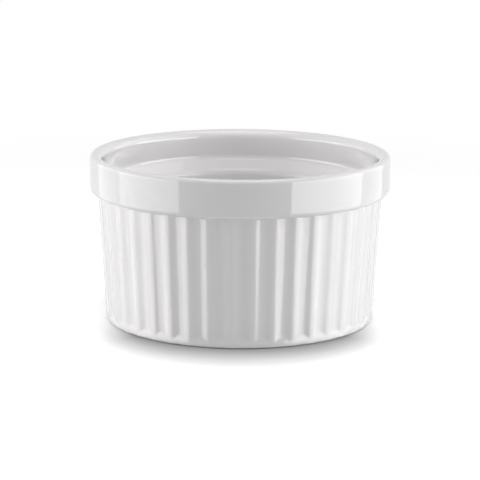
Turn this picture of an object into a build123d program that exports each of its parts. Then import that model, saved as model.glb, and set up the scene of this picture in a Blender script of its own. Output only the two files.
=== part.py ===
from build123d import *
import os
from math import cos, pi, sin, sqrt

# A white fluted ramekin of glazed porcelain, standing on its foot.
# Millimetres, +Z up, origin on the table at the middle of the foot.
# Every size is of the finished surface, outside the glaze.

# Whole dish
height = 50.0
band_diameter = 90.0          # smooth band round the mouth, the widest place
band_overhang = 2.2           # how far the band stands out past the ridges under it
wall_draw_in = 2.35           # how much nearer the axis the ridges are at the table
wall_thickness = 4.8          # from the ridges to the inside

# Band and lip
band_height = 11.4
band_edge_radius = 1.6        # lower outside edge of the band
band_cove_radius = 1.3        # hollow between the band's underside and the wall
rim_thickness = 3.9
lip_outer_radius = 1.2
lip_crown_flat = 0.3          # what stays level between the lip's two roundings

# Stacking seat, a sloping step inside on which the foot of another dish rests
seat_lift = 2.8               # from the level of the band's underside up to the top of the slope
seat_drop = 4.25              # height of the slope
seat_hollow_radius = 3.0
seat_shoulder_radius = 4.0

# Flutes, hollows with rounded ridges between them
flute_count = 42
flute_depth = 0.53
ridge_radius = 3.5
plain_ring_height = 1.6       # smooth ring under the flutes
plain_ring_proud = 0.05       # how far that ring stands out past the ridges
runout_height = 2.6           # over which the flutes fade out above the ring
runout_radius = 2.5
core_inset = 0.4              # from the bottom of a flute to the round core behind it
weld_lap = 0.5                # how far the fluted sleeve runs into the round core

# Floor and foot
floor_thickness = 4.4
floor_corner_radius = 6.0
base_edge_radius = 1.0
foot_land_width = 3.0
foot_edge_radius = 0.6        # inner edge of the foot
recess_depth = 1.6
recess_corner_radius = 0.7

# Glaze
glaze_thickness = 0.3
bare_height = 0.4             # the foot is wiped bare up to here before the firing

# Heights and radii that follow
band_radius = band_diameter / 2
mouth_radius = band_radius - rim_thickness
band_bottom = height - band_height
lip_inner_radius = rim_thickness - lip_outer_radius - lip_crown_flat
seat_top = band_bottom + seat_lift
seat_bottom = seat_top - seat_drop
floor_top = recess_depth + floor_thickness
ridge_top_radius = band_radius - band_overhang
foot_outer_radius = ridge_top_radius - wall_draw_in + plain_ring_proud
foot_inner_radius = foot_outer_radius - base_edge_radius - foot_land_width - foot_edge_radius
runout_top = plain_ring_height + runout_height


def ridge_line(z):
    """Radius of the cone that the ridges lie on, at height z."""
    return ridge_top_radius - wall_draw_in * (band_bottom - z) / band_bottom


def core_line(z):
    """Radius of the round core behind the flutes, at height z."""
    return ridge_line(z) - flute_depth - core_inset


def inner_line(z):
    """Radius of the inside wall below the seat, at height z."""
    return ridge_line(z) - wall_thickness


def side_direction(start, end):
    """Unit vector along one side of an outline."""
    across, up = end[0] - start[0], end[1] - start[1]
    length = sqrt(across * across + up * up)
    return across / length, up / length


def sunk_outline(corners, depth):
    """Corners of a closed outline whose sides have all moved into the material by depth.
    The sides run anticlockwise, and a side on the axis stays where it is."""
    count = len(corners)
    lines = []
    for i in range(count):
        start, end = corners[i], corners[(i + 1) % count]
        across, up = side_direction(start, end)
        on_axis = start[0] == 0 and end[0] == 0
        shift = 0 if on_axis else depth
        lines.append((start[0] - up * shift, start[1] + across * shift, across, up))
    sunk = []
    for i in range(count):
        x1, y1, a1, u1 = lines[i - 1]
        x2, y2, a2, u2 = lines[i]
        turn = a1 * u2 - u1 * a2
        along = ((x2 - x1) * u2 - (y2 - y1) * a2) / turn
        sunk.append((x1 + a1 * along, y1 + u1 * along))
    return sunk


def rounded_face(corners, radii, depth):
    """The face inside a closed outline, each corner rounded by a tangent arc.
    An arc sunk by depth keeps its centre: it shrinks on an outer corner and grows in a hollow."""
    count = len(corners)
    sides = [side_direction(corners[i], corners[(i + 1) % count]) for i in range(count)]
    starts, ends, middles = [], [], []
    for i in range(count):
        (a1, u1), (a2, u2) = sides[i - 1], sides[i]
        x, y = corners[i]
        turn_sin, turn_cos = a1 * u2 - u1 * a2, a1 * a2 + u1 * u2
        half_tan = abs(turn_sin) / (1 + turn_cos)
        radius = radii[i] - depth if turn_sin > 0 else radii[i] + depth
        if not radii[i]:
            radius = 0
        reach = radius * half_tan
        starts.append((x - a1 * reach, y - u1 * reach))
        ends.append((x + a2 * reach, y + u2 * reach))
        half_cos = 1 / sqrt(1 + half_tan * half_tan)
        inward = radius / half_cos - radius
        bend_x, bend_y = a2 - a1, u2 - u1
        bend = sqrt(bend_x * bend_x + bend_y * bend_y)
        middles.append((x + bend_x / bend * inward, y + bend_y / bend * inward))
    edges = []
    for i in range(count):
        if radii[i]:
            edges.append(ThreePointArc(starts[i], middles[i], ends[i]))
        edges.append(Line(ends[i], starts[(i + 1) % count]))
    return make_face(edges)


def round_core(depth):
    """The dish without its flutes, turned round the axis, its surface sunk by depth."""
    corners_and_radii = [
        ((0, recess_depth), 0),
        ((foot_inner_radius, recess_depth), recess_corner_radius),
        ((foot_inner_radius, 0), foot_edge_radius),
        ((foot_outer_radius, 0), base_edge_radius),
        ((ridge_line(plain_ring_height) + plain_ring_proud, plain_ring_height), runout_radius),
        ((core_line(runout_top), runout_top), runout_radius),
        ((core_line(band_bottom), band_bottom), band_cove_radius),
        ((band_radius, band_bottom), band_edge_radius),
        ((band_radius, height), lip_outer_radius),
        ((mouth_radius, height), lip_inner_radius),
        ((mouth_radius, seat_top), seat_hollow_radius),
        ((inner_line(seat_bottom), seat_bottom), seat_shoulder_radius),
        ((inner_line(floor_top), floor_top), floor_corner_radius),
        ((0, floor_top), 0),
    ]
    corners = sunk_outline([corner for corner, radius in corners_and_radii], depth)
    radii = [radius for corner, radius in corners_and_radii]
    return revolve(Plane.XZ * rounded_face(corners, radii, depth), Axis.Z)


def fluted_section(z, depth):
    """Face of the fluted wall at height z: ridges and hollows are arcs that touch.
    The hollow's radius is the one that gives the stated flute depth."""
    step = pi / flute_count
    ridge_centre = ridge_line(z) - ridge_radius
    flute_floor = ridge_line(z) - flute_depth
    near = ridge_centre * cos(step)
    gap = ridge_centre ** 2 + flute_floor ** 2 - 2 * flute_floor * near - ridge_radius ** 2
    hollow_radius = gap / (2 * (ridge_radius + near - flute_floor))
    hollow_centre = flute_floor + hollow_radius
    share = ridge_radius / (ridge_radius + hollow_radius)

    def at(radius, angle):
        return Vector(radius * cos(angle), radius * sin(angle), z)

    def touch(angle, side):
        ridge_middle = at(ridge_centre, angle)
        hollow_middle = at(hollow_centre, angle + side * step)
        joint = ridge_middle + (hollow_middle - ridge_middle) * share
        return joint + (ridge_middle - joint).normalized() * depth

    edges = []
    for i in range(flute_count):
        ridge_angle = 2 * i * step
        crest = at(ridge_line(z) - depth, ridge_angle)
        trough = at(flute_floor - depth, ridge_angle + step)
        edges.append(ThreePointArc(touch(ridge_angle, -1), crest, touch(ridge_angle, 1)))
        edges.append(ThreePointArc(touch(ridge_angle, 1), trough, touch(ridge_angle + 2 * step, -1)))
    return make_face(edges)


def fluted_sleeve(depth):
    """The fluted part of the wall, from inside the plain ring to inside the band."""
    low = (base_edge_radius + plain_ring_height) / 2
    high = band_bottom + weld_lap + depth
    solid = loft([fluted_section(low, depth), fluted_section(high, depth)], ruled=True)
    low_bore = core_line(low) - weld_lap - depth
    high_bore = core_line(high) - weld_lap - depth
    bore_outline = make_face(Polyline((0, low), (low_bore, low), (high_bore, high), (0, high), close=True))
    return solid - revolve(Plane.XZ * bore_outline, Axis.Z)


def dish(depth):
    """The whole dish, its surface sunk by depth."""
    return round_core(depth) + fluted_sleeve(depth)


def porcelain_body(finished):
    """The fired clay: the dish less its glaze, and the bare foot down to the table."""
    below_glaze = Pos(0, 0, bare_height / 2) * Cylinder(band_radius, bare_height)
    return dish(glaze_thickness) + (finished & below_glaze)


def main():
    os.makedirs("parts", exist_ok=True)
    finished = dish(0)
    body = porcelain_body(finished)
    glazes = sorted((finished - body).solids(), key=lambda solid: solid.volume)
    underside_glaze, glaze_coat = glazes
    named = {
        "porcelain_body": body,
        "glaze_coat": glaze_coat,
        "underside_glaze": underside_glaze,
    }
    for name, shape in named.items():
        print(name, "solids", len(shape.solids()), "volume", round(shape.volume, 1))
        export_step(shape, "parts/" + name + ".step")


main()
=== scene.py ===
from math import cos, pi, radians, sin, tan

import bpy
import numpy as np
from bpy.props import FloatProperty, FloatVectorProperty, IntProperty, PointerProperty
from mathutils import Euler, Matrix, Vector


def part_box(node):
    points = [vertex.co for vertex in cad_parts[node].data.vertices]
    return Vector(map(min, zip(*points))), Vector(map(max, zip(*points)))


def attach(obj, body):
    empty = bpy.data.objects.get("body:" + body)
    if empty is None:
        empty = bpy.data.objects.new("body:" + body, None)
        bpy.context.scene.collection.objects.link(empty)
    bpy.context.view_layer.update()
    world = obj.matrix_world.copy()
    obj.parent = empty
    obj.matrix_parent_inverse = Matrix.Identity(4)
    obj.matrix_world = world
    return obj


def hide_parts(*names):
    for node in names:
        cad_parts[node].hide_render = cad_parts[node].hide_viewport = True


bl_info = {
    "name": "Fluted ramekin",
    "version": (1, 0, 0),
    "blender": (4, 5, 0),
    "location": "View3D > Sidebar > Ramekin",
    "description": "A white glazed baking dish with a fluted wall, on a plain studio floor",
    "category": "Add Mesh",
}

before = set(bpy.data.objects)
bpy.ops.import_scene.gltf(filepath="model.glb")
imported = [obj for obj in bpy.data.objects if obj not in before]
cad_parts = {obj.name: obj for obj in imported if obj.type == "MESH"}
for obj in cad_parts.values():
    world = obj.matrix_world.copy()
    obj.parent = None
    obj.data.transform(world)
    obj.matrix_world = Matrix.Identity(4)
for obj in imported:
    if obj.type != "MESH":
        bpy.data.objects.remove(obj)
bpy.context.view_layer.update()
MM = 0.001

# The finished dish fills the frame's box: the band is its width, the rim its top.
COAT_LOW, COAT_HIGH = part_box("glaze_coat")
UNDERSIDE_LOW, UNDERSIDE_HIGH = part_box("underside_glaze")


def length(name, description, default):
    """A size in metres that shows in the sidebar with its unit."""
    return FloatProperty(
        name=name, description=description, default=default, min=0.0, precision=5, unit="LENGTH"
    )


def colour(name, description, default):
    """A surface colour, in linear light."""
    return FloatVectorProperty(
        name=name, description=description, default=default, min=0.0, max=1.0, size=3, subtype="COLOR"
    )


def share(name, description, default, highest=1.0):
    """A plain number without a unit."""
    return FloatProperty(name=name, description=description, default=default, min=0.0, max=highest)


class DishSizes(bpy.types.PropertyGroup):
    """Sizes of the dish, on the outside of its glaze."""

    height: length("Height", "From the table to the rim", COAT_HIGH.z)
    band_diameter: length("Band diameter", "Across the smooth band", COAT_HIGH.x - COAT_LOW.x)
    band_height: length("Band height", "From the rim to the band's underside", 11.4 * MM)
    band_overhang: length("Band overhang", "How far the band stands out past the ridges", 2.2 * MM)
    wall_draw_in: length("Wall draw-in", "How much nearer the axis the ridges are at the table", 2.35 * MM)
    wall_thickness: length("Wall", "From the ridges to the inside", 4.8 * MM)
    rim_thickness: length("Rim", "Thickness of the wall at the rim", 3.9 * MM)
    lip_outer_radius: length("Lip outside", "Outer rounding of the lip", 1.2 * MM)
    lip_crown_flat: length("Lip crown", "Level strip between the lip's two roundings", 0.3 * MM)
    band_edge_radius: length("Band edge", "Rounding of the band's lower edge", 1.6 * MM)
    band_cove_radius: length("Band cove", "Hollow under the band", 1.3 * MM)
    seat_lift: length("Seat lift", "From the band's underside up to the top of the slope", 2.8 * MM)
    seat_drop: length("Seat drop", "Height of the sloping seat", 4.25 * MM)
    seat_hollow_radius: length("Seat hollow", "Hollow at the top of the slope", 3.0 * MM)
    seat_shoulder_radius: length("Seat shoulder", "Rounding at the foot of the slope", 4.0 * MM)
    flute_count: IntProperty(name="Flutes", description="Flutes round the wall", default=42, min=3)
    flute_depth: length("Flute depth", "From a ridge to the bottom of a flute", 0.53 * MM)
    ridge_radius: length("Ridge radius", "Rounding of the ridges between flutes", 3.5 * MM)
    flute_softening: length("Flute softening", "How much the glaze rounds the flutes' ends", 0.2 * MM)
    core_inset: length("Core inset", "From the bottom of a flute to the round core behind it", 0.4 * MM)
    plain_ring_height: length("Plain ring", "Height of the smooth ring under the flutes", 1.6 * MM)
    plain_ring_proud: length("Ring stand-out", "How far the ring stands out past the ridges", 0.05 * MM)
    runout_height: length("Run-out", "Height over which the flutes fade out", 2.6 * MM)
    runout_radius: length("Run-out radius", "Rounding at both ends of the run-out", 2.5 * MM)
    floor_thickness: length("Floor", "Thickness of the floor over the recess", 4.4 * MM)
    floor_corner_radius: length("Floor corner", "Hollow between the floor and the wall", 6.0 * MM)
    base_edge_radius: length("Base edge", "Rounding of the foot's outer edge", 1.0 * MM)
    foot_edge_radius: length("Foot edge", "Rounding of the foot's inner edge", 0.6 * MM)
    recess_diameter: length("Recess", "Across the recess under the floor", UNDERSIDE_HIGH.x - UNDERSIDE_LOW.x)
    recess_depth: length("Recess depth", "From the table up to the recess", 1.6 * MM)
    recess_corner_radius: length("Recess corner", "Hollow between the recess and the foot", 0.7 * MM)
    glaze_thickness: length("Glaze", "Thickness of the glaze", 0.3 * MM)
    bare_height: length("Bare height", "How far up the foot is wiped bare", COAT_LOW.z)


class FinishLook(bpy.types.PropertyGroup):
    """Colours and gloss of the dish."""

    glaze_colour: colour("Glaze", "White of the glazed porcelain", (0.865, 0.848, 0.855))
    pool_colour: colour("Pooled glaze", "Where the glaze lies a little thicker", (0.849, 0.833, 0.84))
    glaze_roughness: share("Glaze roughness", "Blur of reflections under the glaze's clear coat", 0.09)
    bisque_colour: colour("Bare porcelain", "The unglazed foot", (0.71, 0.68, 0.63))
    bisque_roughness: share("Bare roughness", "Roughness of the unglazed foot", 0.62)


class StageLook(bpy.types.PropertyGroup):
    """Floor, lamps and camera."""

    floor_size: length("Floor", "Side of the square floor", 6.0)
    floor_colour: colour("Floor colour", "Paint of the floor, as a light to the dish", (0.6, 0.6, 0.6))
    floor_white: share("Floor white", "Paint of the floor to the eye. 1 gives back all its light", 1.6, 10.0)
    floor_polish: share("Floor polish", "How clearly reflections show the soft boxes in the floor", 0.7)
    # The next four settings shape a shade painted into the floor's white round the foot, which only the eye
    # sees.
    painted_shade_depth: share("Shade depth", "The floor's white where its shade is deepest", 0.09)
    painted_shade_radius: length("Shade radius", "From the axis to the edge of the foot", 40 * MM)
    painted_side_shade: length("Side shade", "How far the shade reaches beside the dish", 4 * MM)
    painted_front_shade: length("Front shade", "How far the shade reaches before and behind the dish", 38 * MM)
    white_start: length("White start", "From the axis to where the floor starts to turn plain white", 0.12)
    white_end: length("White end", "From the axis to where the floor is plain white", 0.36)
    camera_distance: length("Camera distance", "From the dish's axis, along the floor", 617.4 * MM)
    camera_height: length("Camera height", "Above the floor", 159.1 * MM)
    lens: FloatProperty(
        name="Lens", description="Focal length on a 36 mm sensor", default=156.5, unit="CAMERA"
    )
    lamp_distance: length("Lamp distance", "From the dish's axis to each soft box", 0.6)
    left_front: share("Left, front", "Radiance of the left soft box, low and in front", 1.9, 100.0)
    left_rear: share("Left, rear", "Radiance of the left soft box, low and behind", 0.75, 100.0)
    left_high: share("Left, high", "Radiance of the left soft box's upper part", 0.16, 100.0)
    right_front: share("Right, front", "Radiance of the right soft box, low and in front", 2.5, 100.0)
    right_rear: share("Right, rear", "Radiance of the right soft box, low and behind", 0.8, 100.0)
    right_high: share("Right, high", "Radiance of the right soft box's upper part", 0.56, 100.0)
    left_fill: share("Left fill", "Radiance of the matt fill beside the dish on the left", 3.3, 100.0)
    right_fill: share("Right fill", "Radiance of the matt fill beside the dish on the right", 1.1, 100.0)
    overhead: share("Overhead", "Radiance of the soft box over the dish", 0.95, 100.0)
    cup_fill: share("Cup fill", "Radiance of the matt fill over the dish's mouth", 3.15, 100.0)
    front_high: share("Front, high", "Radiance of the soft box high over the camera", 0.77, 100.0)
    room: share("Room", "Radiance of the plain room as a light", 0.19, 10.0)


def classes():
    """Every class that the add-on registers, in order."""
    return (DishSizes, FinishLook, StageLook, RAMEKIN_OT_glaze_coat, RAMEKIN_OT_underside_glaze,
            RAMEKIN_OT_bare_foot, RAMEKIN_OT_stage, RAMEKIN_PT_panel)


def smooth_greater(a, b, blend):
    """The greater of two arrays, with the crossing rounded over a band as wide as blend."""
    nearness = np.clip(1 - np.abs(a - b) / blend, 0, 1)
    return np.maximum(a, b) + nearness**2 * blend / 4


def ridge_line(sizes, z):
    """Radius of the cone that the ridges lie on: straight from the table to the band's underside."""
    band_bottom = sizes.height - sizes.band_height
    top_radius = sizes.band_diameter / 2 - sizes.band_overhang
    return top_radius - sizes.wall_draw_in * (band_bottom - z) / band_bottom


def fluted_radius(sizes, angle, z, depth):
    """Distance from the axis to the fluted wall, sunk by depth.
    A ridge is a circle round a centre behind it, a flute a circle round a centre in front of it,
    and the two touch. A ray from the axis leaves the ridge's circle at its far side and meets
    the flute's circle at its near side."""
    half_step = pi / sizes.flute_count
    crest = ridge_line(sizes, z)
    ridge = sizes.ridge_radius
    ridge_centre = crest - ridge
    flute_floor = crest - sizes.flute_depth
    near = ridge_centre * cos(half_step)
    gap = ridge_centre**2 + flute_floor**2 - 2 * flute_floor * near - ridge**2
    hollow = gap / (2 * (ridge + near - flute_floor))
    hollow_centre = flute_floor + hollow
    joint_share = ridge / (ridge + hollow)
    joint_along = ridge_centre + (hollow_centre * cos(half_step) - ridge_centre) * joint_share
    joint_across = hollow_centre * sin(half_step) * joint_share
    joint_angle = np.arctan2(joint_across, joint_along)
    from_ridge = np.abs((angle + half_step) % (2 * half_step) - half_step)
    from_flute = half_step - from_ridge
    on_ridge = ridge_centre * np.cos(from_ridge) + np.sqrt(
        np.maximum((ridge - depth) ** 2 - (ridge_centre * np.sin(from_ridge)) ** 2, 0))
    on_flute = hollow_centre * np.cos(from_flute) - np.sqrt(
        np.maximum((hollow + depth) ** 2 - (hollow_centre * np.sin(from_flute)) ** 2, 0))
    return np.where(from_ridge < joint_angle, on_ridge, on_flute)


def outline_corners(sizes):
    """Corners of half the dish's section as (radius, height, rounding, rows on the side before it),
    from the middle of the recess round the foot, up the wall, over the lip and down to the floor."""
    band_radius = sizes.band_diameter / 2
    band_bottom = sizes.height - sizes.band_height
    mouth_radius = band_radius - sizes.rim_thickness
    lip_inner_radius = sizes.rim_thickness - sizes.lip_outer_radius - sizes.lip_crown_flat
    seat_top = band_bottom + sizes.seat_lift
    seat_bottom = seat_top - sizes.seat_drop
    floor_top = sizes.recess_depth + sizes.floor_thickness
    ring_top = sizes.plain_ring_height
    runout_top = ring_top + sizes.runout_height
    core_depth = sizes.flute_depth + sizes.core_inset
    wall = sizes.wall_thickness
    proud = sizes.plain_ring_proud
    recess_radius = sizes.recess_diameter / 2
    # The patch of glaze ends on the foot's rounded inner edge, a little outside the recess's wall.
    edge = sizes.foot_edge_radius
    edge_reach = edge - (edge**2 - (edge - sizes.bare_height) ** 2) ** 0.5
    foot_inner = recess_radius - edge_reach
    return [
        (0, sizes.recess_depth, 0, 0),
        (foot_inner, sizes.recess_depth, sizes.recess_corner_radius, 5),
        (foot_inner, 0, edge, 0),
        (ridge_line(sizes, 0) + proud, 0, sizes.base_edge_radius, 1),
        (ridge_line(sizes, ring_top) + proud, ring_top, sizes.runout_radius, 1),
        (ridge_line(sizes, runout_top) - core_depth, runout_top, sizes.runout_radius, 12),
        (ridge_line(sizes, band_bottom) - core_depth, band_bottom, sizes.band_cove_radius, 6),
        (band_radius, band_bottom, sizes.band_edge_radius, 0),
        (band_radius, sizes.height, sizes.lip_outer_radius, 2),
        (mouth_radius, sizes.height, lip_inner_radius, 0),
        (mouth_radius, seat_top, sizes.seat_hollow_radius, 2),
        (ridge_line(sizes, seat_bottom) - wall, seat_bottom, sizes.seat_shoulder_radius, 1),
        (ridge_line(sizes, floor_top) - wall, floor_top, sizes.floor_corner_radius, 4),
        (0, floor_top, 0, 7),
    ]


# Rows along each rounding of the outline.
ARC_ROWS = 9


def rounded_rows(corners, depth):
    """Points along an open outline whose corners are rounded by touching arcs, sunk by depth.
    Each corner's arc is swept from its first tangent to its last about a centre that stays where
    it is when the outline sinks, so a hump's radius shrinks by depth and a hollow's grows."""
    points = np.array([corner[:2] for corner in corners])
    radii = np.array([corner[2] for corner in corners])
    along = np.diff(points, axis=0)
    along /= np.linalg.norm(along, axis=1, keepdims=True)
    before, after = along[:-1], along[1:]
    turn = np.arctan2(
        before[:, 0] * after[:, 1] - before[:, 1] * after[:, 0], (before * after).sum(axis=1))
    sense = np.sign(turn)
    inward = np.stack([-before[:, 1], before[:, 0]], axis=1)
    middle_radii = radii[1:-1]
    reach = middle_radii * np.tan(np.abs(turn) / 2)
    starts = points[1:-1] - before * reach[:, None]
    centres = starts + inward * (sense * middle_radii)[:, None]
    sweep = turn[:, None] * np.linspace(0, 1, ARC_ROWS)
    first = np.arctan2(-inward[:, 1] * sense, -inward[:, 0] * sense)
    spin = first[:, None] + sweep
    sunk = (middle_radii - sense * depth)[:, None]
    arcs = centres[:, None, :] + sunk[..., None] * np.stack([np.cos(spin), np.sin(spin)], axis=2)
    ends = np.array([[0.0, points[0, 1] + depth], [0.0, points[-1, 1] - depth]])
    stretches = [ends[:1]]
    for index, corner in enumerate(corners[1:-1]):
        last = stretches[-1][-1]
        shares = np.linspace(0, 1, corner[3] + 2)[1:-1, None]
        stretches.append(last + (arcs[index, 0] - last) * shares)
        stretches.append(arcs[index])
    last = stretches[-1][-1]
    shares = np.linspace(0, 1, corners[-1][3] + 2)[1:, None]
    stretches.append(last + (ends[1] - last) * shares)
    return np.concatenate(stretches)


def cut_at_height(rows, height):
    """Two stretches of the outline: from its start to where it first sinks through a height, and from
    where it last climbs through that height to its end, each with a row put in at the height."""
    above = rows[:, 1] > height
    first = int(np.argmax(~above))
    last = len(above) - int(np.argmax(~above[::-1]))

    def crossing(inside, outside):
        part = (height - inside[1]) / (outside[1] - inside[1])
        return inside + (outside - inside) * part

    under = np.vstack([rows[:first], crossing(rows[first - 1], rows[first])])
    over = np.vstack([crossing(rows[last], rows[last - 1]), rows[last:]])
    return under, over


# Steps round each flute. The coat's hidden back keeps one row in three.
FLUTE_STEPS = 14
BACK_STRIDE = 3

# Faces that meet at more than this look sharp.
SHARP_ANGLE = radians(50)


def ring_points(sizes, rows, depth):
    """Every row turned round the axis: x is the radius times the angle's cosine, y times its sine.
    Rows on the outside of the wall take the greater of the core's radius and the flutes'."""
    count = sizes.flute_count * FLUTE_STEPS
    angle = np.arange(count) * (2 * pi / count)
    radius = np.repeat(rows[:, :1], count, axis=1)
    height = np.repeat(rows[:, 1:], count, axis=1)
    band_bottom = sizes.height - sizes.band_height
    widest = int(np.argmax(rows[:, 0]))
    on_wall = (np.arange(len(rows)) < widest) & (rows[:, 1] <= band_bottom + depth)
    if on_wall.any():
        fluted = fluted_radius(sizes, angle[None, :], rows[on_wall, 1:], depth)
        radius[on_wall] = smooth_greater(radius[on_wall], fluted, sizes.flute_softening)
    return np.stack([radius * np.cos(angle), radius * np.sin(angle), height], axis=2)


def closed_skin(name, front, back):
    """A mesh from rings of points: a pole, the front's rings, the back's rings and a pole.
    Quads join each ring to the next, and triangles close both poles."""
    front_pole = np.array([[0, 0, front[0, 0, 2]]])
    back_pole = np.array([[0, 0, back[-1, 0, 2]]])
    rings = np.concatenate([front[1:], back[:-1]])
    ring_count, count = rings.shape[:2]
    points = np.concatenate([rings.reshape(-1, 3), front_pole, back_pole])
    ring = np.arange(ring_count - 1)[:, None] * count
    step = np.arange(count)[None, :]
    beside = (step + 1) % count
    quads = np.stack([ring + step, ring + beside, ring + count + beside, ring + count + step], axis=2)
    quads = quads.reshape(-1, 4)
    step, beside = step[0], beside[0]
    tip, tail = ring_count * count, ring_count * count + 1
    fan = np.stack([np.full(count, tip), beside, step], axis=1)
    last = (ring_count - 1) * count
    end_fan = np.stack([np.full(count, tail), last + step, last + beside], axis=1)
    triangles = np.concatenate([fan, end_fan])
    corner_ids = np.concatenate([quads.ravel(), triangles.ravel()])
    corner_counts = np.concatenate([np.full(len(quads), 4), np.full(len(triangles), 3)])
    starts = np.concatenate([[0], np.cumsum(corner_counts)[:-1]])
    mesh = bpy.data.meshes.new(name)
    mesh.vertices.add(len(points))
    mesh.vertices.foreach_set("co", points.astype(np.float32).ravel())
    mesh.loops.add(len(corner_ids))
    mesh.loops.foreach_set("vertex_index", corner_ids.astype(np.int32))
    mesh.polygons.add(len(corner_counts))
    mesh.polygons.foreach_set("loop_start", starts.astype(np.int32))
    mesh.update(calc_edges=True)
    mesh.validate()
    mesh.shade_smooth()
    mesh.set_sharp_from_angle(angle=SHARP_ANGLE)
    return mesh


def show(name, mesh, material):
    """Puts a mesh into the scene at the origin, in its finish, riding on the dish's one body."""
    piece = bpy.data.objects.new(name, mesh)
    bpy.context.scene.collection.objects.link(piece)
    mesh.materials.append(material)
    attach(piece, "root")
    return piece


class NodeSheet:
    """Adds nodes to a tree in rows, sets their plain values and joins their sockets."""

    COLUMN_WIDTH = 220
    ROW_HEIGHT = 180

    def __init__(self, tree):
        self.tree = tree
        tree.nodes.clear()

    def add(self, kind, place, settings=(), **values):
        """A node at a column and row. An underscore in a value's name stands for a space."""
        node = self.tree.nodes.new(kind)
        node.location = (place[0] * self.COLUMN_WIDTH, place[1] * self.ROW_HEIGHT)
        for key, value in dict(settings).items():
            setattr(node, key, value)
        for key, value in values.items():
            node.inputs[key.replace("_", " ")].default_value = value
        return node

    def add_math(self, operation, place, first=0.5, second=0.5):
        """A Math node. Each of its two numbers counts where nothing is joined to it."""
        node = self.add("ShaderNodeMath", place, settings={"operation": operation})
        node.inputs[0].default_value = first
        node.inputs[1].default_value = second
        return node

    def add_group(self, group, place, values):
        """A shared group, with this material's own values on its inputs."""
        node = self.add("ShaderNodeGroup", place, settings={"node_tree": group})
        for key, value in values.items():
            node.inputs[key].default_value = value
        return node

    def join(self, output, target):
        self.tree.links.new(output, target)


def new_value_group(name, inputs, outputs):
    """An empty shader node group with number inputs, by name and default, and number outputs."""
    tree = bpy.data.node_groups.new(name, "ShaderNodeTree")
    for socket, default in inputs.items():
        made = tree.interface.new_socket(socket, in_out="INPUT", socket_type="NodeSocketFloat")
        made.default_value = default
    for socket in outputs:
        tree.interface.new_socket(socket, in_out="OUTPUT", socket_type="NodeSocketFloat")
    return tree


# How the finishes change with the mottle. The glaze's roughness varies by the first share either
# way, and the bare porcelain darkens down to the second share of its colour. The two lengths are
# the heights of the bumps in the glaze and in the bare porcelain.
GLOSS_SPREAD_SHARE = 0.15
DARK_PATCH_SHARE = 0.9
RIPPLE_HEIGHT = 0.02 * MM
GRAIN_HEIGHT = 0.03 * MM


def mottle_group():
    """Soft uneven patches on object coordinates, as a value about a half, and fine grain beside it."""
    name = "Kiln mottle"
    if name in bpy.data.node_groups:
        return bpy.data.node_groups[name]
    tree = new_value_group(name, {"Patch Scale": 60.0, "Grain Scale": 900.0}, ("Patches", "Grain"))
    sheet = NodeSheet(tree)
    inside = sheet.add("NodeGroupInput", (0, 0))
    place = sheet.add("ShaderNodeTexCoord", (0, 1))
    patches = sheet.add("ShaderNodeTexNoise", (1, 1), Detail=3.0, Roughness=0.55)
    grain = sheet.add("ShaderNodeTexNoise", (1, 0), Detail=2.0, Roughness=0.6)
    outside = sheet.add("NodeGroupOutput", (2, 0))
    sheet.join(place.outputs["Object"], patches.inputs["Vector"])
    sheet.join(place.outputs["Object"], grain.inputs["Vector"])
    sheet.join(inside.outputs["Patch Scale"], patches.inputs["Scale"])
    sheet.join(inside.outputs["Grain Scale"], grain.inputs["Scale"])
    sheet.join(patches.outputs["Fac"], outside.inputs["Patches"])
    sheet.join(grain.outputs["Fac"], outside.inputs["Grain"])
    return tree


def glaze_material(look):
    """Clear gloss over white porcelain."""
    name = "Porcelain glaze"
    if name in bpy.data.materials:
        return bpy.data.materials[name]
    material = bpy.data.materials.new(name)
    material.use_nodes = True
    sheet = NodeSheet(material.node_tree)
    mottle = sheet.add_group(mottle_group(), (0, 0), {"Patch Scale": 45.0, "Grain Scale": 260.0})
    tint = sheet.add("ShaderNodeMix", (1, 1), settings={"data_type": "RGBA"})
    tint.inputs["A"].default_value = (*look.pool_colour, 1)
    tint.inputs["B"].default_value = (*look.glaze_colour, 1)
    gloss = sheet.add("ShaderNodeMapRange", (1, 0), To_Min=look.glaze_roughness * (1 - GLOSS_SPREAD_SHARE),
                      To_Max=look.glaze_roughness * (1 + GLOSS_SPREAD_SHARE))
    ripple = sheet.add("ShaderNodeBump", (1, -1), Strength=0.12, Distance=RIPPLE_HEIGHT)
    skin = sheet.add("ShaderNodeBsdfPrincipled", (2, 0), IOR=1.5, Coat_Weight=1.0, Coat_IOR=1.6,
                     Coat_Roughness=0.04)
    outside = sheet.add("ShaderNodeOutputMaterial", (3, 0))
    sheet.join(mottle.outputs["Patches"], tint.inputs["Factor"])
    sheet.join(mottle.outputs["Patches"], gloss.inputs["Value"])
    sheet.join(mottle.outputs["Grain"], ripple.inputs["Height"])
    sheet.join(tint.outputs["Result"], skin.inputs["Base Color"])
    sheet.join(gloss.outputs["Result"], skin.inputs["Roughness"])
    sheet.join(ripple.outputs["Normal"], skin.inputs["Normal"])
    sheet.join(skin.outputs["BSDF"], outside.inputs["Surface"])
    return material


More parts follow.
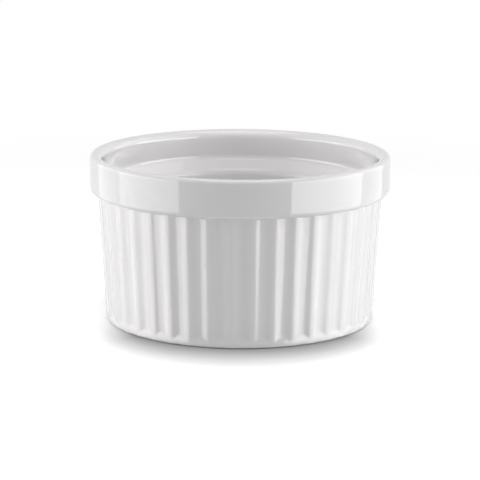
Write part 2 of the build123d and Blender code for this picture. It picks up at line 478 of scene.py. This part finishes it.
def bisque_material(look):
    """Fired porcelain without glaze: matt, a little warm, with a fine grain."""
    material = bpy.data.materials.new("Bare porcelain")
    material.use_nodes = True
    sheet = NodeSheet(material.node_tree)
    mottle = sheet.add_group(mottle_group(), (0, 0), {"Patch Scale": 180.0, "Grain Scale": 2600.0})
    tint = sheet.add("ShaderNodeMix", (1, 1), settings={"data_type": "RGBA"})
    tint.inputs["A"].default_value = (*[part * DARK_PATCH_SHARE for part in look.bisque_colour], 1)
    tint.inputs["B"].default_value = (*look.bisque_colour, 1)
    grain = sheet.add("ShaderNodeBump", (1, -1), Strength=0.5, Distance=GRAIN_HEIGHT)
    skin = sheet.add("ShaderNodeBsdfPrincipled", (2, 0), Roughness=look.bisque_roughness)
    outside = sheet.add("ShaderNodeOutputMaterial", (3, 0))
    sheet.join(mottle.outputs["Patches"], tint.inputs["Factor"])
    sheet.join(mottle.outputs["Grain"], grain.inputs["Height"])
    sheet.join(tint.outputs["Result"], skin.inputs["Base Color"])
    sheet.join(grain.outputs["Normal"], skin.inputs["Normal"])
    sheet.join(skin.outputs["BSDF"], outside.inputs["Surface"])
    return material


# The painted contact shade on the floor starts to fade this far inside the foot's edge, as a share of its
# reach.
# It has its full strength where the squared cosine of the angle from the front or back is at least this.
PAINTED_SHADE_START_SHARE = -0.5
FULL_PAINTED_SHADE_FACING = 0.42


def painted_shade_group():
    """A shade painted on the floor round a round foot, as a value that is low at the foot's edge and 1 far
    off.
    The distance from the foot's edge is divided by a reach that grows from the foot's sides, on X,
    to its front and back, on Y. The share is eased at both ends, and the painted shade fades out at the
    sides."""
    name = "Contact shade"
    if name in bpy.data.node_groups:
        return bpy.data.node_groups[name]
    inputs = {"Foot Radius": 0.04, "Side Reach": 0.004, "Front Reach": 0.03}
    tree = new_value_group(name, inputs, ("Unshaded",))
    sheet = NodeSheet(tree)
    inside = sheet.add("NodeGroupInput", (0, 0))
    place = sheet.add("ShaderNodeTexCoord", (0, 1))
    parts = sheet.add("ShaderNodeSeparateXYZ", (1, 1))
    spread = sheet.add("ShaderNodeVectorMath", (1, 2), settings={"operation": "LENGTH"})
    ahead = sheet.add_math("DIVIDE", (2, 1))
    facing = sheet.add_math("POWER", (3, 1), second=2.0)
    reach = sheet.add("ShaderNodeMapRange", (4, 1))
    beyond = sheet.add_math("SUBTRACT", (2, 2))
    part = sheet.add_math("DIVIDE", (5, 2))
    eased = sheet.add("ShaderNodeMapRange", (6, 2), settings={"interpolation_type": "SMOOTHSTEP"},
                      From_Min=PAINTED_SHADE_START_SHARE)
    dark = sheet.add_math("SUBTRACT", (7, 2), first=1.0)
    strength = sheet.add("ShaderNodeMapRange", (7, 1), From_Max=FULL_PAINTED_SHADE_FACING)
    shade = sheet.add_math("MULTIPLY", (8, 2))
    light = sheet.add_math("SUBTRACT", (9, 2), first=1.0)
    outside = sheet.add("NodeGroupOutput", (10, 1))
    sheet.join(place.outputs["Object"], parts.inputs["Vector"])
    sheet.join(place.outputs["Object"], spread.inputs[0])
    sheet.join(parts.outputs["Y"], ahead.inputs[0])
    sheet.join(spread.outputs["Value"], ahead.inputs[1])
    sheet.join(ahead.outputs["Value"], facing.inputs[0])
    sheet.join(facing.outputs["Value"], reach.inputs["Value"])
    sheet.join(inside.outputs["Side Reach"], reach.inputs["To Min"])
    sheet.join(inside.outputs["Front Reach"], reach.inputs["To Max"])
    sheet.join(spread.outputs["Value"], beyond.inputs[0])
    sheet.join(inside.outputs["Foot Radius"], beyond.inputs[1])
    sheet.join(beyond.outputs["Value"], part.inputs[0])
    sheet.join(reach.outputs["Result"], part.inputs[1])
    sheet.join(part.outputs["Value"], eased.inputs["Value"])
    sheet.join(eased.outputs["Result"], dark.inputs[1])
    sheet.join(facing.outputs["Value"], strength.inputs["Value"])
    sheet.join(dark.outputs["Value"], shade.inputs[0])
    sheet.join(strength.outputs["Result"], shade.inputs[1])
    sheet.join(shade.outputs["Value"], light.inputs[1])
    sheet.join(light.outputs["Value"], outside.inputs["Unshaded"])
    return tree


FLOOR_GLOSS_ROUGHNESS = 0.05


def floor_material(look):
    """Grey paint, as a light to the dish. To the eye, in reflections and through glass it is white,
    and far from the dish it glows plain white. The eye also sees a shade painted round the foot, on top of
    the lamps' real shadow, and reflections show the soft boxes mirrored in the floor."""
    material = bpy.data.materials.new("Studio floor")
    material.use_nodes = True
    sheet = NodeSheet(material.node_tree)
    path = sheet.add("ShaderNodeLightPath", (0, 2))
    mirrored = sheet.add_math("MAXIMUM", (1, 2))
    seen = sheet.add_math("MAXIMUM", (2, 2))
    shade = sheet.add_group(painted_shade_group(), (0, 0), {
        "Foot Radius": look.painted_shade_radius,
        "Side Reach": look.painted_side_shade,
        "Front Reach": look.painted_front_shade,
    })
    # Reflections and rays through glass see the floor's white without the painted shade. The eye sees it with
    # the painted shade.
    unshaded_share = sheet.add_math("MAXIMUM", (1, 1))
    # The floor's white to the eye, darkened towards the foot by the painted shade.
    white = sheet.add("ShaderNodeMix", (2, 0), settings={"data_type": "RGBA"})
    white.inputs["A"].default_value = (*[look.painted_shade_depth * look.floor_white] * 3, 1)
    white.inputs["B"].default_value = (*[look.floor_white] * 3, 1)
    paint = sheet.add("ShaderNodeMix", (3, 1), settings={"data_type": "RGBA"})
    paint.inputs["A"].default_value = (*look.floor_colour, 1)
    matt = sheet.add("ShaderNodeBsdfDiffuse", (4, 1))
    gloss = sheet.add("ShaderNodeBsdfGlossy", (4, 0), Color=(1, 1, 1, 1),
                      Roughness=FLOOR_GLOSS_ROUGHNESS)
    polish = sheet.add_math("MULTIPLY", (4, 2), second=look.floor_polish)
    place = sheet.add("ShaderNodeTexCoord", (2, 3))
    spread = sheet.add("ShaderNodeVectorMath", (3, 3), settings={"operation": "LENGTH"})
    away = sheet.add("ShaderNodeMapRange", (4, 3), settings={"interpolation_type": "SMOOTHSTEP"},
                     From_Min=look.white_start, From_Max=look.white_end)
    open_floor = sheet.add_math("MULTIPLY", (5, 3))
    backdrop = sheet.add("ShaderNodeEmission", (5, 0), Color=(1, 1, 1, 1), Strength=1.0)
    painted = sheet.add("ShaderNodeMixShader", (6, 1))
    polished = sheet.add("ShaderNodeMixShader", (7, 1))
    outside = sheet.add("ShaderNodeOutputMaterial", (8, 1))
    sheet.join(path.outputs["Is Glossy Ray"], mirrored.inputs[0])
    sheet.join(path.outputs["Is Transmission Ray"], mirrored.inputs[1])
    sheet.join(mirrored.outputs["Value"], seen.inputs[0])
    sheet.join(path.outputs["Is Camera Ray"], seen.inputs[1])
    sheet.join(shade.outputs["Unshaded"], unshaded_share.inputs[0])
    sheet.join(mirrored.outputs["Value"], unshaded_share.inputs[1])
    sheet.join(unshaded_share.outputs["Value"], white.inputs["Factor"])
    sheet.join(seen.outputs["Value"], paint.inputs["Factor"])
    sheet.join(white.outputs["Result"], paint.inputs["B"])
    sheet.join(paint.outputs["Result"], matt.inputs["Color"])
    sheet.join(path.outputs["Is Glossy Ray"], polish.inputs[0])
    sheet.join(place.outputs["Object"], spread.inputs[0])
    sheet.join(spread.outputs["Value"], away.inputs["Value"])
    sheet.join(away.outputs["Result"], open_floor.inputs[0])
    sheet.join(seen.outputs["Value"], open_floor.inputs[1])
    sheet.join(open_floor.outputs["Value"], painted.inputs["Fac"])
    sheet.join(matt.outputs["BSDF"], painted.inputs[1])
    sheet.join(backdrop.outputs["Emission"], painted.inputs[2])
    sheet.join(polish.outputs["Value"], polished.inputs["Fac"])
    sheet.join(painted.outputs["Shader"], polished.inputs[1])
    sheet.join(gloss.outputs["BSDF"], polished.inputs[2])
    sheet.join(polished.outputs["Shader"], outside.inputs["Surface"])
    return material


class RAMEKIN_OT_glaze_coat(bpy.types.Operator):
    """The glaze over the wall, the band, the lip and the inside, as one closed skin"""

    bl_idname = "ramekin.glaze_coat"
    bl_label = "Glaze coat"

    def execute(self, context):
        sizes, look = context.scene.dish_sizes, context.scene.finish_look
        corners = outline_corners(sizes)
        _, outer = cut_at_height(rounded_rows(corners, 0), sizes.bare_height)
        _, inner = cut_at_height(rounded_rows(corners, sizes.glaze_thickness), sizes.bare_height)
        inner = np.vstack([inner[:-1:BACK_STRIDE], inner[-1:]])
        front = ring_points(sizes, outer, 0)[::-1]
        back = ring_points(sizes, inner, sizes.glaze_thickness)
        piece = show("glaze_skin", closed_skin("glaze_skin", front, back), glaze_material(look))
        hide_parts("glaze_coat")
        return {"FINISHED"}


class RAMEKIN_OT_underside_glaze(bpy.types.Operator):
    """The patch of glaze in the recess under the floor, as one closed skin"""

    bl_idname = "ramekin.underside_glaze"
    bl_label = "Underside glaze"

    def execute(self, context):
        sizes, look = context.scene.dish_sizes, context.scene.finish_look
        corners = outline_corners(sizes)
        outer, _ = cut_at_height(rounded_rows(corners, 0), sizes.bare_height)
        inner, _ = cut_at_height(rounded_rows(corners, sizes.glaze_thickness), sizes.bare_height)
        front = ring_points(sizes, outer, 0)
        back = ring_points(sizes, inner, sizes.glaze_thickness)[::-1]
        mesh = closed_skin("underside_skin", front, back)
        piece = show("underside_skin", mesh, glaze_material(look))
        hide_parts("underside_glaze")
        return {"FINISHED"}


class RAMEKIN_OT_bare_foot(bpy.types.Operator):
    """The finish of the fired body, which shows only on the bare foot"""

    bl_idname = "ramekin.bare_foot"
    bl_label = "Bare foot"

    def execute(self, context):
        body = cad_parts["porcelain_body"]
        body.data.materials.clear()
        body.data.materials.append(bisque_material(context.scene.finish_look))
        return {"FINISHED"}


def add_floor(look):
    """A square plain floor under the dish."""
    half = look.floor_size / 2
    mesh = bpy.data.meshes.new("floor")
    corners = [(-half, -half, 0), (half, -half, 0), (half, half, 0), (-half, half, 0)]
    mesh.from_pydata(corners, [], [(0, 1, 2, 3)])
    mesh.materials.append(floor_material(look))
    floor = bpy.data.objects.new("floor", mesh)
    bpy.context.scene.collection.objects.link(floor)


def add_soft_box(name, place, target, size, radiance, matt=False):
    """A rectangular soft box that faces a point. Its power is its radiance times pi times its area.
    A matt one is left out of reflections."""
    lamp = bpy.data.lights.new(name, "AREA")
    lamp.shape = "RECTANGLE"
    lamp.size, lamp.size_y = size
    lamp.energy = radiance * pi * size[0] * size[1]
    box = bpy.data.objects.new(name, lamp)
    box.location = place
    box.rotation_euler = (Vector(target) - Vector(place)).to_track_quat("-Z", "Y").to_euler()
    box.visible_camera = False
    box.visible_glossy = not matt
    bpy.context.scene.collection.objects.link(box)


def add_room(look):
    """The plain room: white to the eye, in reflections and through glass, dimmer as a light."""
    world = bpy.data.worlds.new("Studio room")
    bpy.context.scene.world = world
    world.use_nodes = True
    sheet = NodeSheet(world.node_tree)
    path = sheet.add("ShaderNodeLightPath", (0, 0))
    mirrored = sheet.add_math("MAXIMUM", (1, 0))
    seen = sheet.add_math("MAXIMUM", (2, 0))
    level = sheet.add("ShaderNodeMapRange", (3, 0), To_Min=look.room, To_Max=1.0)
    room = sheet.add("ShaderNodeBackground", (4, 0))
    outside = sheet.add("ShaderNodeOutputWorld", (5, 0))
    sheet.join(path.outputs["Is Glossy Ray"], mirrored.inputs[0])
    sheet.join(path.outputs["Is Transmission Ray"], mirrored.inputs[1])
    sheet.join(mirrored.outputs["Value"], seen.inputs[0])
    sheet.join(path.outputs["Is Camera Ray"], seen.inputs[1])
    sheet.join(seen.outputs["Value"], level.inputs["Value"])
    sheet.join(level.outputs["Result"], room.inputs["Strength"])
    sheet.join(room.outputs["Background"], outside.inputs["Surface"])


# The camera stands a little left of the dish's -Y side, looks down by a little over 12 degrees, and
# is tipped by a third of a degree. All four angles are in radians.
SENSOR_WIDTH_MM = 36
CAMERA_SWING = radians(-0.835)
CAMERA_PITCH = -0.2167
CAMERA_YAW = -0.00015
CAMERA_ROLL = 0.006


def add_camera(look):
    """A long lens that is swung round the dish, then pitched down, then tipped."""
    data = bpy.data.cameras.new("camera")
    data.sensor_width = SENSOR_WIDTH_MM
    data.lens = look.lens
    camera = bpy.data.objects.new("camera", data)
    camera.location = (sin(CAMERA_SWING) * look.camera_distance, -cos(CAMERA_SWING) * look.camera_distance,
                       look.camera_height)
    turned = Euler((0, 0, CAMERA_SWING + CAMERA_YAW)).to_matrix()
    pitched = Euler((pi / 2 + CAMERA_PITCH, 0, 0)).to_matrix()
    rolled = Euler((0, 0, CAMERA_ROLL)).to_matrix()
    camera.rotation_euler = (turned @ pitched @ rolled).to_euler()
    bpy.context.scene.collection.objects.link(camera)
    bpy.context.scene.camera = camera


# The side soft boxes start in front of the dish at these angles, measured at the dish from straight
# ahead, where their mirror images start in the band.
LEFT_START = radians(46.4)
RIGHT_START = radians(37.4)

# Heights, places and sizes of the lamps, as shares of the lamp distance.
LOW_SHARE = 0.25
HIGH_SHARE = 1.0
TOP_SHARE = 1.5
BOX_SHARE = 0.5
REAR_START_SHARE = 0.2
FRONT_WIDTH_SHARE = 1.3
FILL_SIDE_SHARE = 0.92
FILL_BACK_SHARE = 0.08
FILL_AIM_SHARE = 1 / 12
CUP_FILL_SHARE = 0.2


class RAMEKIN_OT_stage(bpy.types.Operator):
    """The plain floor, the soft boxes, the room and the camera"""

    bl_idname = "ramekin.stage"
    bl_label = "Stage"

    def execute(self, context):
        look = context.scene.stage_look
        add_floor(look)
        far = look.lamp_distance
        low, top, box = far * LOW_SHARE, far * TOP_SHARE, far * BOX_SHARE
        # Each side has one tall soft box in three parts, which ends behind the dish, and a matt fill.
        for name, side, first_angle, front, rear, high, fill in (
            ("left", -1, LEFT_START, look.left_front, look.left_rear, look.left_high, look.left_fill),
            ("right", 1, RIGHT_START, look.right_front, look.right_rear, look.right_high, look.right_fill),
        ):
            near_y = -far / tan(first_angle)
            turn_y = far * REAR_START_SHARE
            for part, start, end, level, tall, radiance in (
                ("_front", near_y, turn_y, low, box, front),
                ("_rear", turn_y, far, low, box, rear),
                ("_high", near_y, far, far * HIGH_SHARE, far, high),
            ):
                middle = (start + end) / 2
                place = (side * far, middle, level)
                add_soft_box(name + part, place, (0, middle, level), (end - start, tall), radiance)
            place = (side * far * FILL_SIDE_SHARE, far * FILL_BACK_SHARE, low)
            add_soft_box(name + "_fill", place, (0, 0, far * FILL_AIM_SHARE), (box, box), fill, matt=True)
        dish, cup = (0, 0, 0), far * CUP_FILL_SHARE
        add_soft_box("overhead", (0, 0, top), dish, (far, far), look.overhead)
        add_soft_box("cup_fill", (0, 0, box), dish, (cup, cup), look.cup_fill, matt=True)
        add_soft_box("front_high", (0, -far, top), dish, (far * FRONT_WIDTH_SHARE, box), look.front_high)
        add_room(look)
        add_camera(look)
        context.scene.view_settings.view_transform = "Standard"
        return {"FINISHED"}


class RAMEKIN_PT_panel(bpy.types.Panel):
    """Sizes, finish and stage of the ramekin"""

    bl_idname = "RAMEKIN_PT_panel"
    bl_label = "Ramekin"
    bl_space_type = "VIEW_3D"
    bl_region_type = "UI"
    bl_category = "Ramekin"

    def draw(self, context):
        scene = context.scene
        groups = {"Dish": scene.dish_sizes, "Finish": scene.finish_look, "Stage": scene.stage_look}
        for title, group in groups.items():
            box = self.layout.box()
            box.label(text=title)
            for key in type(group).__annotations__:
                box.prop(group, key)
        for operator in ("glaze_coat", "underside_glaze", "bare_foot", "stage"):
            self.layout.operator("ramekin." + operator)


def register():
    """Makes the add-on's classes and settings known to Blender."""
    for item in classes():
        bpy.utils.register_class(item)
    bpy.types.Scene.dish_sizes = PointerProperty(type=DishSizes)
    bpy.types.Scene.finish_look = PointerProperty(type=FinishLook)
    bpy.types.Scene.stage_look = PointerProperty(type=StageLook)


def unregister():
    """Takes the add-on's settings and classes away again."""
    del bpy.types.Scene.stage_look
    del bpy.types.Scene.finish_look
    del bpy.types.Scene.dish_sizes
    for item in reversed(classes()):
        bpy.utils.unregister_class(item)


def main():
    """Makes the dish and its stage."""
    register()
    bpy.ops.ramekin.glaze_coat()
    bpy.ops.ramekin.underside_glaze()
    bpy.ops.ramekin.bare_foot()
    bpy.ops.ramekin.stage()
    bpy.context.view_layer.update()


if __name__ == "__main__":
    main()
